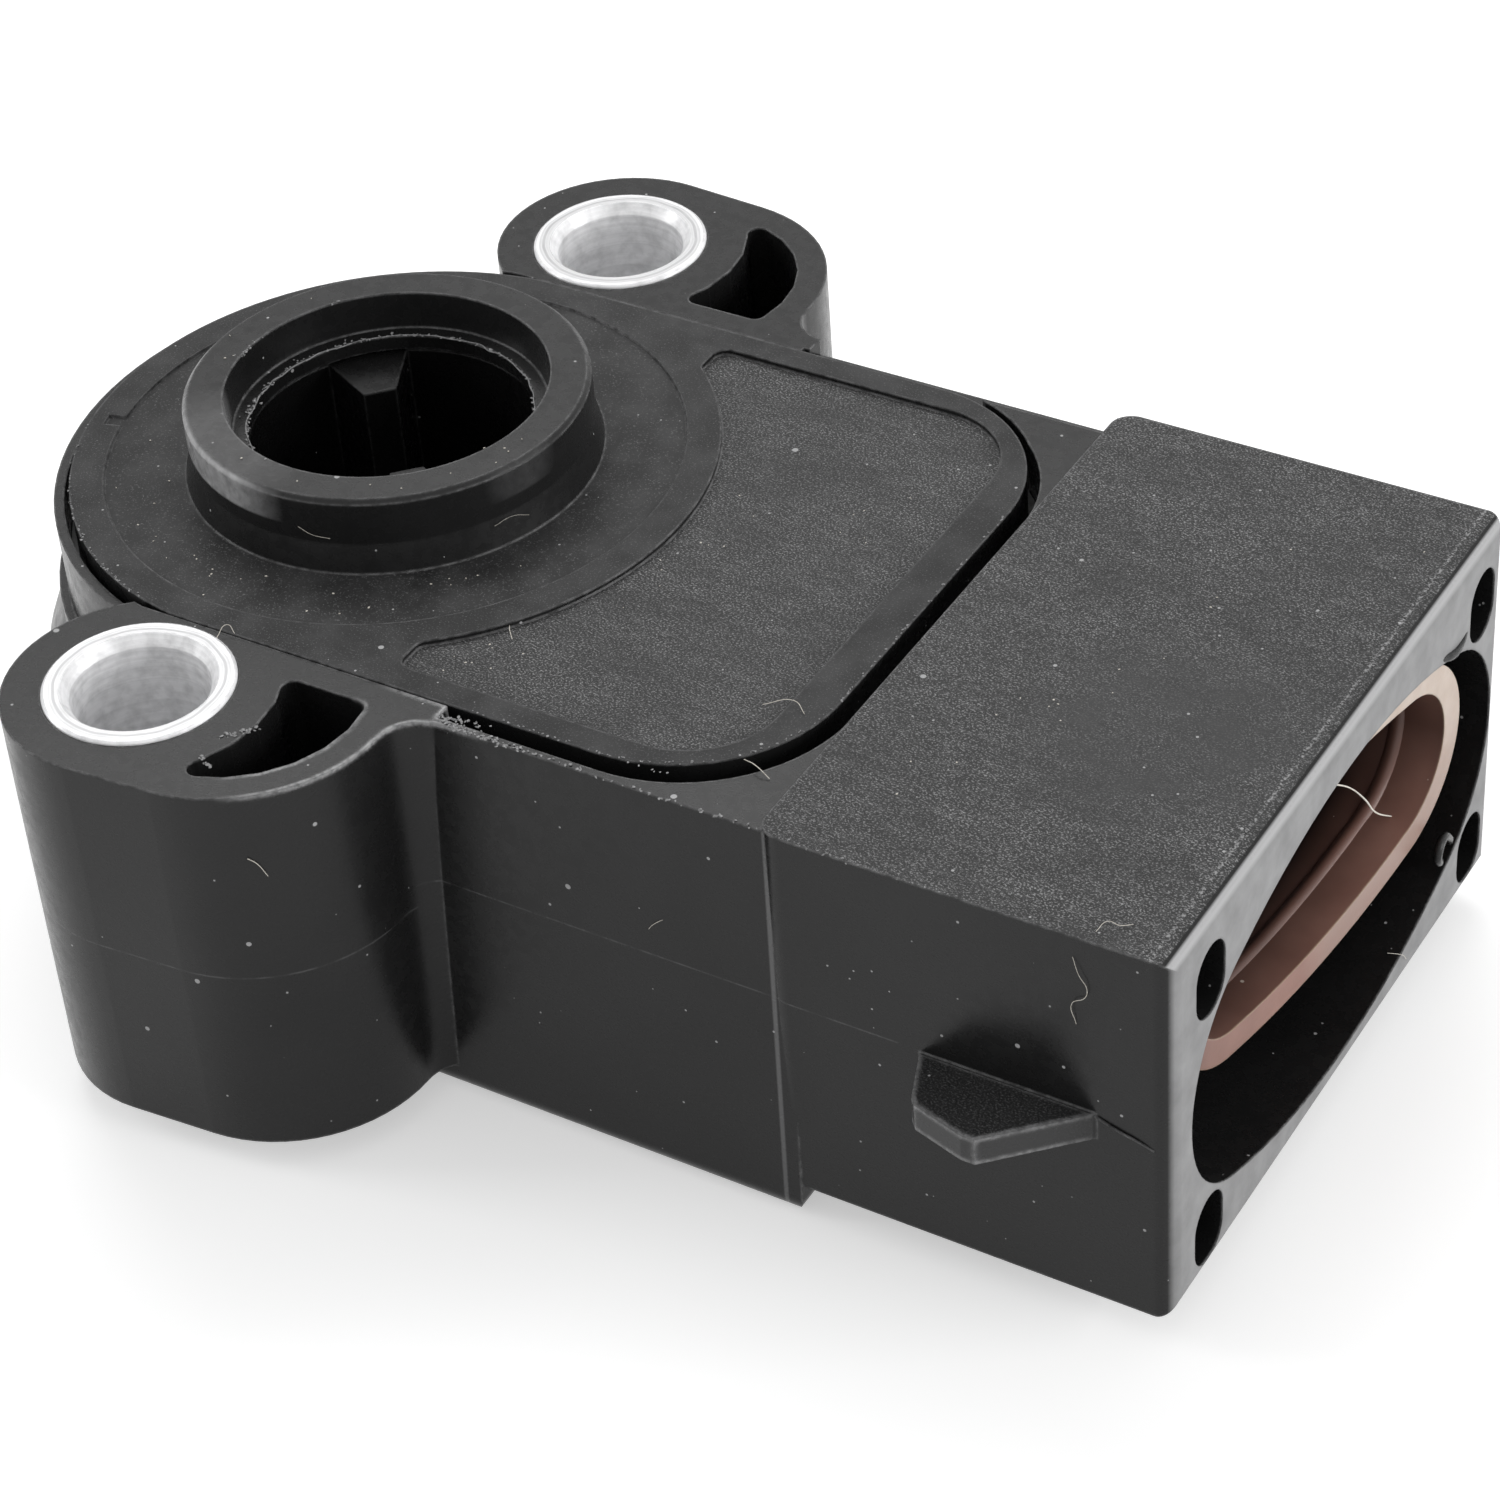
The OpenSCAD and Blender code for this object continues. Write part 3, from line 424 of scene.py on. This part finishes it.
def cover_black():
    """The cover's plastic: flecks in the sunk panel, fainter ones on the plate, and painted
    highlights on the spigot's wall.
    """
    skin = Moulding("cover_plastic", (-0.34, -0.2))
    plate = skin.both(skin.facing("Z"), skin.between("Z", -0.2, 0.3))
    bloom = skin.spread(skin.grain(2.2, detail=4), 0.4, 0.66, 0.1, 0.6)
    skin.cover(skin.both(plate, bloom), grey(0.055))
    bits = skin.spread(skin.grain(0.085, harshness=0.7), 0.58, 0.74, 0, 0.75)
    skin.cover(skin.both(plate, skin.patch, bits), grey(0.26))
    # Painted highlights on the spigot's wall: a bright blotchy one to the left and a faint one to
    # the right
    spigot_highlight_blotches = skin.spread(skin.grain(0.5, detail=4), 0.3, 0.7, 0.55, 1)
    highlight_band = skin.both(skin.between("Z", 1.95, 3.3, 0.12), spigot_highlight_blotches)
    skin.cover(skin.both(highlight_band, skin.near((-4.2, -7.7, 2.8), 5)), grey(0.4))
    skin.cover(skin.both(highlight_band, skin.near((8.5, -2.4, 2.9), 2.0)), grey(0.05))
    return skin.finished(skin.math("MAXIMUM", skin.ground, plate))


def rotor_black():
    """The rotor's plastic: darker, without flecks, and with its rubbed edges and painted edge
    highlights faint.
    """
    skin = Moulding("rotor_plastic", NO_FLECKS, shade=0.005, gloss=0.2, wear_and_highlight=0.3)
    return skin.finished(skin.ground)


def turned_aluminium(name, centre_y):
    """Aluminium with tool rings about a bush's own axis, whose Y is given in millimetres."""
    skin = Finish(name, 0.3, metallic=1.0)
    ring_w = 0.3 * MM
    from_axis = skin.new("ShaderNodeVectorMath")
    from_axis.operation = "SUBTRACT"
    from_axis.inputs[1].default_value = (0, centre_y * MM, 0)
    skin.link(skin.place, from_axis.inputs[0])
    flat = skin.new("ShaderNodeVectorMath")
    flat.operation = "MULTIPLY"
    flat.inputs[1].default_value = (1, 1, 0)
    skin.link(from_axis.outputs[0], flat.inputs[0])
    radius = skin.new("ShaderNodeVectorMath")
    radius.operation = "LENGTH"
    skin.link(flat.outputs[0], radius.inputs[0])
    wander = skin.math("MULTIPLY", skin.grain(2.5), ring_w)
    lathe = skin.math("ADD", skin.math("ADD", radius.outputs["Value"], skin.axis("Z")), wander)
    rings = skin.new("ShaderNodeTexNoise")
    rings.noise_dimensions = "1D"
    rings.inputs["Scale"].default_value = 1
    rings.inputs["Detail"].default_value = 3
    rings.inputs["Roughness"].default_value = 0.6
    skin.link(skin.math("MULTIPLY", lathe, 1 / ring_w), rings.inputs["W"])
    ring = rings.outputs["Fac"]
    cloud = skin.grain(0.7, detail=5)
    face = skin.facing("Z", 0.9, 0.99)
    # The bore is painted paler and the end face darker than the same metal: painted light and
    # shade for how the lamps fall on them
    bore_painted_paler = skin.blend(skin.spread(ring, 0.3, 0.7), grey(0.82), grey(1))
    end = skin.blend(skin.spread(ring, 0.35, 0.65), grey(0.34), grey(0.62))
    tone = skin.blend(face, bore_painted_paler, end)
    skin.colour(skin.blend(skin.spread(cloud, 0.42, 0.7, 0, 0.5), tone, grey(0.42)))
    skin.roughness(skin.spread(cloud, 0.3, 0.7, 0.34, 0.48))
    skin.link(skin.spread(face, 0, 1, 0.25, 1), skin.shader.inputs["Metallic"])
    skin.relief(ring, 0.025, skin.rounded(0.12)[0], 0.5)
    return skin.material


def silicone():
    """Brown-pink silicone: paler on its flat rim, with painted shade towards the bottom of the
    socket and at its upper far end, and painted highlights on its edges.
    """
    skin = Finish("silicone", 0.38, gloss=0.4)

    # Wall, with painted shade at the bottom and at its upper far end
    cloud = skin.spread(skin.grain(3, detail=3), 0.3, 0.7)
    wall = skin.blend(cloud, (0.27, 0.135, 0.105, 1), (0.36, 0.19, 0.15, 1))
    depth = skin.spread(skin.axis("X"), 40.4 * MM, 43.9 * MM)
    wall = skin.blend(depth, (0.014, 0.008, 0.007, 1), wall)
    far_end_shade = skin.spread(skin.axis("Y"), 7.5 * MM, 11 * MM)
    shaded = skin.both(far_end_shade, skin.spread(skin.axis("Z"), -11 * MM, -8 * MM))
    wall = skin.blend(skin.math("MULTIPLY", shaded, 0.75), wall, (0.05, 0.024, 0.018, 1))

    # Rim, redder towards its bottom
    rim = skin.both(skin.facing("X", 0.6, 0.95), skin.between("X", 43.6, 46, 0.2))
    cloud = skin.spread(skin.grain(1.4, detail=4), 0.3, 0.7)
    lip = skin.blend(cloud, (0.42, 0.33, 0.27, 1), (0.52, 0.44, 0.38, 1))
    height = skin.spread(skin.axis("Z"), -12.6 * MM, -6.5 * MM)
    lip = skin.blend(height, (0.27, 0.17, 0.14, 1), lip)
    shown = skin.blend(rim, wall, lip)

    # Painted highlights on the edges, and specks of dust
    normal, edges = skin.rounded(0.12)
    shown = skin.blend(skin.math("MULTIPLY", edges, 0.6), shown, (0.5, 0.4, 0.27, 1))
    dust = skin.math("MULTIPLY", skin.specks(1.5, 0.1), 0.7)
    skin.colour(skin.blend(dust, shown, (0.7, 0.6, 0.52, 1)))
    skin.shader.inputs["Subsurface Weight"].default_value = 0.12
    skin.shader.inputs["Subsurface Radius"].default_value = (1.2 * MM, 0.6 * MM, 0.4 * MM)
    skin.relief(skin.grain(0.25, detail=3), 0.012, normal, 0.4)
    return skin.material


def plain_finish(name, dark, light, roughness, metallic=0.0, size=0.3, depth=0.01):
    """A finish of two close tones over a fine grain."""
    skin = Finish(name, roughness, metallic)
    fine = skin.grain(size, detail=4)
    skin.colour(skin.blend(skin.spread(fine, 0.3, 0.7), dark, light))
    skin.roughness(skin.spread(fine, 0.2, 0.8, roughness * 0.8, min(1, roughness * 1.3)))
    skin.relief(fine, depth, None, 0.4)
    return skin.material


def dress_nodes():
    """Gives every CAD node its finish, and returns the finishes by node."""
    metal = 1.0
    tin = (0.62, 0.6, 0.54, 1), (0.85, 0.83, 0.78, 1)
    copper = (0.66, 0.46, 0.2, 1), (0.86, 0.68, 0.38, 1)
    alumina = (0.74, 0.73, 0.68, 1), (0.86, 0.85, 0.8, 1)
    soot = grey(0.012), grey(0.03)
    brass = plain_finish("tinned_brass", *tin, 0.3, metal)
    sealant = plain_finish("sealant", *soot, 0.3)
    bronze = plain_finish("spring_bronze", *copper, 0.3, metal)
    steel = plain_finish("spring_steel", grey(0.4), grey(0.62), 0.3, metal)
    silver = plain_finish("silver_ink", grey(0.55), grey(0.78), 0.45, metal)
    carbon = plain_finish("carbon_ink", *soot, 0.7)
    finishes = {
        "housing": housing_black(),
        "cover": cover_black(),
        "rotor": rotor_black(),
        "bush_near": turned_aluminium("aluminium_near", -BUSH_Y),
        "bush_far": turned_aluminium("aluminium_far", BUSH_Y),
        "connector_seal": silicone(),
        "terminal_supply": brass,
        "terminal_signal": brass,
        "terminal_ground": brass,
        "terminal_sealant": sealant,
        "cover_sealant": sealant,
        "wiper": bronze,
        "wiper_rivets": bronze,
        "thrust_washer": steel,
        "return_spring": steel,
        "resistor_board": plain_finish("ceramic", *alumina, 0.6),
        "resistance_track": carbon,
        "collector_track": carbon,
        "conductor_pads": silver,
        "solder_joints": silver,
    }
    for name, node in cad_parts.items():
        node.data.materials.clear()
        node.data.materials.append(finishes[name])
    return finishes


# Small marks that stand on the surfaces


def place_piece(name, mesh, finish):
    """Puts a finished mesh on the housing's body."""
    mesh.materials.clear()
    mesh.materials.append(finish)
    piece = bpy.data.objects.new(name, mesh)
    bpy.context.scene.collection.objects.link(piece)
    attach(piece, "housing")


def between_points(points, share):
    """The point at a share of the way along a chain of points."""
    steps = [(b - a).length for a, b in zip(points, points[1:])]
    left = share * sum(steps)
    for start, end, step in zip(points, points[1:], steps):
        if left <= step:
            return start.lerp(end, left / step)
        left -= step
    return points[-1]


def crumbs(name, chains, size, finish):
    """Torn crumbs along chains of points, each chain with its number of crumbs and scatter."""
    form = bmesh.new()
    for points, count, scatter in chains:
        points = [Vector(p) for p in points]
        for _ in range(count):
            middle = between_points(points, CHANCE.random())
            aside = [CHANCE.gauss(0, scatter) for _ in "xy"]
            middle += Vector(aside + [CHANCE.uniform(-0.3, 0.5) * size])
            turn = Matrix.Rotation(CHANCE.uniform(0, math.tau), 4, "Z")
            wide = [size * CHANCE.uniform(0.35, 1.3) for _ in "xy"]
            high = size * CHANCE.uniform(0.3, 0.6)
            shape = Matrix.Diagonal(Vector(wide + [high, 1]))
            made = bmesh.ops.create_icosphere(form, subdivisions=1, radius=1)["verts"]
            for vert in made:
                vert.co *= CHANCE.uniform(0.7, 1.25)
            bmesh.ops.transform(form, verts=made, matrix=Matrix.Translation(middle) @ turn @ shape)
    bmesh.ops.scale(form, verts=form.verts, vec=(MM, MM, MM))
    bmesh.ops.recalc_face_normals(form, faces=form.faces)
    mesh = bpy.data.meshes.new(name)
    form.to_mesh(mesh)
    form.free()
    place_piece(name, mesh, finish)


def strands(name, paths, finish, closed=False, uneven=0.25):
    """Thin round strands along smooth paths, each with its half thickness, as one mesh."""
    line = bpy.data.curves.new(name, "CURVE")
    line.dimensions = "3D"
    line.bevel_depth = 1
    line.bevel_resolution = 2
    line.use_fill_caps = True
    line.resolution_u = 6
    for half, *points in paths:
        spline = line.splines.new("BEZIER")
        spline.bezier_points.add(len(points) - 1)
        spline.use_cyclic_u = closed
        for knot, point in zip(spline.bezier_points, points):
            knot.co = Vector(point) * MM
            knot.handle_left_type = knot.handle_right_type = "AUTO"
            knot.radius = half * MM * CHANCE.uniform(1 - uneven, 1 + uneven)
    holder = bpy.data.objects.new(name + "_line", line)
    bpy.context.scene.collection.objects.link(holder)
    bpy.context.view_layer.update()
    shape = holder.evaluated_get(bpy.context.evaluated_depsgraph_get())
    mesh = bpy.data.meshes.new_from_object(shape)
    bpy.data.objects.remove(holder)
    mesh.name = name
    place_piece(name, mesh, finish)


def arc(radius, height, start, end, count=24):
    """Points on a circle about the rotor axis, between two angles in degrees."""
    turns = [math.radians(start + (end - start) * i / count) for i in range(count + 1)]
    return [(radius * math.cos(t), radius * math.sin(t), height) for t in turns]


def torn_edges():
    """Pale crumbs where the cover, its lip, the rim, a pocket and the front edge were trimmed."""
    torn = plain_finish("torn_plastic", grey(0.10), grey(0.42), 0.6, size=0.12, depth=0.03)
    plane = [(12.3, -14.9), (13.5, -15.2), (16.3, -15.2), (21, -15.3), (27.4, -15.3)]
    rim = [(x, y, ON_PLATE) for x, y in plane]
    crumbs("rim_burr", [
        (rim, 70, 0.06),
        (rim[:3], 70, 0.12),
        ([rim[0], (14.5, -14.6, ON_PLATE)], 25, 0.15),
    ], 0.075, torn)

    corner_x, corner_y, corner_r = 19.2, -7.05, 6.95
    turns = [math.radians(-90 + 15 * step) for step in range(7)]
    corner = [(corner_x + corner_r * math.cos(t), corner_y + corner_r * math.sin(t), ON_PLATE)
              for t in turns]
    crumbs("cover_burr", [
        (arc(14.12, ON_PLATE, 222, 256), 60, 0.05),
        (arc(14.12, ON_PLATE, 195, 222), 18, 0.04),
        ([(13, -14.0, ON_PLATE), (22.4, -14.0, ON_PLATE)], 30, 0.04),
        (corner + [(26.15, 7, ON_PLATE)], 90, 0.03),
    ], 0.055, torn)

    crumbs("lip_flash", [
        (arc(6.2, ON_LIP, 0, 360, 48), 150, 0.05),
        (arc(6.25, ON_LIP, 120, 240), 50, 0.12),
        ([(-7.1, -0.3, 3.35), (-7.05, -1.1, 3.35)], 20, 0.1),
        (arc(7.1, 3.38, 140, 260), 16, 0.04),
    ], 0.075, torn)
    waver = 0.05
    ring = [(x + CHANCE.gauss(0, waver), y + CHANCE.gauss(0, waver), z)
            for x, y, z in arc(6.19, ON_LIP, 0, 352, 70)]
    strands("lip_thread", [(0.028, *ring)], torn, closed=True)

    crumbs("pocket_burr", [
        ([(5.1, -19.7, -0.04), (6.05, -18.65, -0.04)], 34, 0.09),
        ([(5.15, -21.2, -0.04), (5.9, -21.6, -0.04)], 14, 0.07),
    ], 0.08, torn)
    crumbs("end_burr", [
        ([(43.95, -14.6, 0.17), (43.9, 14.2, 0.17)], 95, 0.07),
        ([(44.0, -15.2, 0.12), (43.4, -15.3, 0.15)], 14, 0.12),
        ([(27.9, -15.5, 0.14), (35.7, -15.53, 0.14)], 40, 0.05),
    ], 0.05, torn)


def core_flash():
    """Curls of black flash at the far core holes, and a ridge of it before the near wedge."""
    flash = Moulding("flash_black", NO_FLECKS)
    black = flash.finished(flash.ground)
    curls = [
        (0.2, (44.5, 10.9, -14.8), (44.9, 9.9, -14.2), (45.0, 9.45, -13.4), (44.95, 10.1, -13.0),
         (44.9, 10.9, -13.6), (44.6, 11.7, -14.5)),
        (0.2, (44.6, 12.2, -3.2), (44.85, 11.1, -3.45), (44.9, 10.0, -3.25), (44.6, 9.1, -2.9)),
        (0.05, (41.5, -15.62, -8.5), (42.66, -15.66, -8.88), (43.5, -15.64, -9.1),
         (44.1, -15.6, -9.35)),
    ]
    strands("core_flash", curls, black)


def lint():
    """Fibres, each with its half thickness first, and dust that lie on the part."""
    wool = plain_finish("lint", (0.5, 0.46, 0.4, 1), (0.8, 0.77, 0.7, 1), 0.7, size=0.1)
    paths = [
        (0.034, (43.9, 0.87, -3.63), (43.75, 2.76, -5.27), (43.6, 4.72, -7.39), (43.4, 6.3, -9.29),
         (43.2, 8.88, -11.55)),
        (0.009, (1.41, -8.86, 2.0), (2.0, -8.76, 1.7), (2.73, -8.5, 1.55)),
        (0.009, (7.95, -4.1, 0.95), (8.3, -3.3, 1.05), (8.6, -2.5, 0.7)),
        (0.014, (11.3, -8.3, -0.2), (11.62, -8.76, -0.12), (11.95, -9.1, -0.2)),
        (0.018, (24.6, -11.9, 0.05), (25.4, -12.3, 0.3), (26.1, -12.5, 0.05)),
        (0.012, (40.8, -15.64, -0.8), (41.1, -15.75, -1.5), (41.4, -15.7, -2.1),
         (41.3, -15.7, -2.6), (40.8, -15.75, -3.0), (40.9, -15.64, -4.1)),
        (0.014, (41.45, -15.0, 0.2), (41.64, -14.4, 0.3), (42.1, -14.4, 0.28),
         (42.5, -14.05, 0.2)),
        (0.012, (15.3, -15.33, -15.0), (15.7, -15.5, -15.8), (16.2, -15.33, -16.1)),
        (0.012, (21.5, -15.33, -7.5), (22.1, -15.5, -6.6), (22.8, -15.33, -6.1)),
        (0.012, (26.9, -15.33, -17.0), (27.3, -15.6, -17.6), (27.5, -15.33, -18.4)),
        (0.016, (7.95, -22.65, -3.1), (8.2, -22.45, -3.4), (8.5, -22.25, -4.1)),
        (0.016, (1.1, -14.6, 0.05), (1.24, -14.0, 0.35), (1.65, -14.1, 0.1)),
        (0.012, (44.9, 4.6, -15.1), (45.1, 5.7, -16.0), (44.9, 6.7, -17.1)),
        (0.014, (23.5, -8.6, 0.05), (24.6, -8.0, 0.2), (25.3, -8.4, 0.05)),
    ]
    strands("lint_fibres", paths, wool)
    crumbs("dust_grains", [
        ([(10.5, -12, 0.01), (12.5, -10, 0.01)], 8, 0.5),
        ([(12.5, -6, -0.27), (21.5, 5, -0.27)], 20, 1.6),
        ([(30.5, -10, ON_SHROUD), (40.5, 9, ON_SHROUD)], 16, 1.5),
        (arc(10.8, -0.11, 190, 330), 26, 0.7),
        (arc(7.9, 3.42, 150, 360), 14, 0.4),
    ], 0.05, wool)


def seal_ridge(finish):
    """The outer sealing ridge, a bead half sunk in the inner wall of the silicone seal.

    Its path is an oval of two round ends and two long flat arcs, on the same slant as the rim.
    """
    middle_x, middle_y, middle_z = 41.45, 0.9, -7.875
    slant, bead_r = 0.085, 0.42
    end_y, end_r = 6.525, 3.7
    half_height, long_r = 4.3, 39.26
    oval = []
    for side, first in ((1, -80), (-1, 100)):
        for step in range(9):
            turn = math.radians(first + 20 * step)
            oval.append((side * end_y + end_r * math.cos(turn), end_r * math.sin(turn)))
        for step in range(9):
            across = side * (5.6 - 1.4 * step)
            rise = math.sqrt(long_r ** 2 - across ** 2) - (long_r - half_height)
            oval.append((across, side * rise))
    path = [(middle_x + slant * across, middle_y + across, middle_z + up) for across, up in oval]
    strands("seal_ridge", [(bead_r, *path)], finish, closed=True, uneven=0)


photo_camera()
studio()
finishes = dress_nodes()
torn_edges()
core_flash()
lint()
seal_ridge(finishes["connector_seal"])
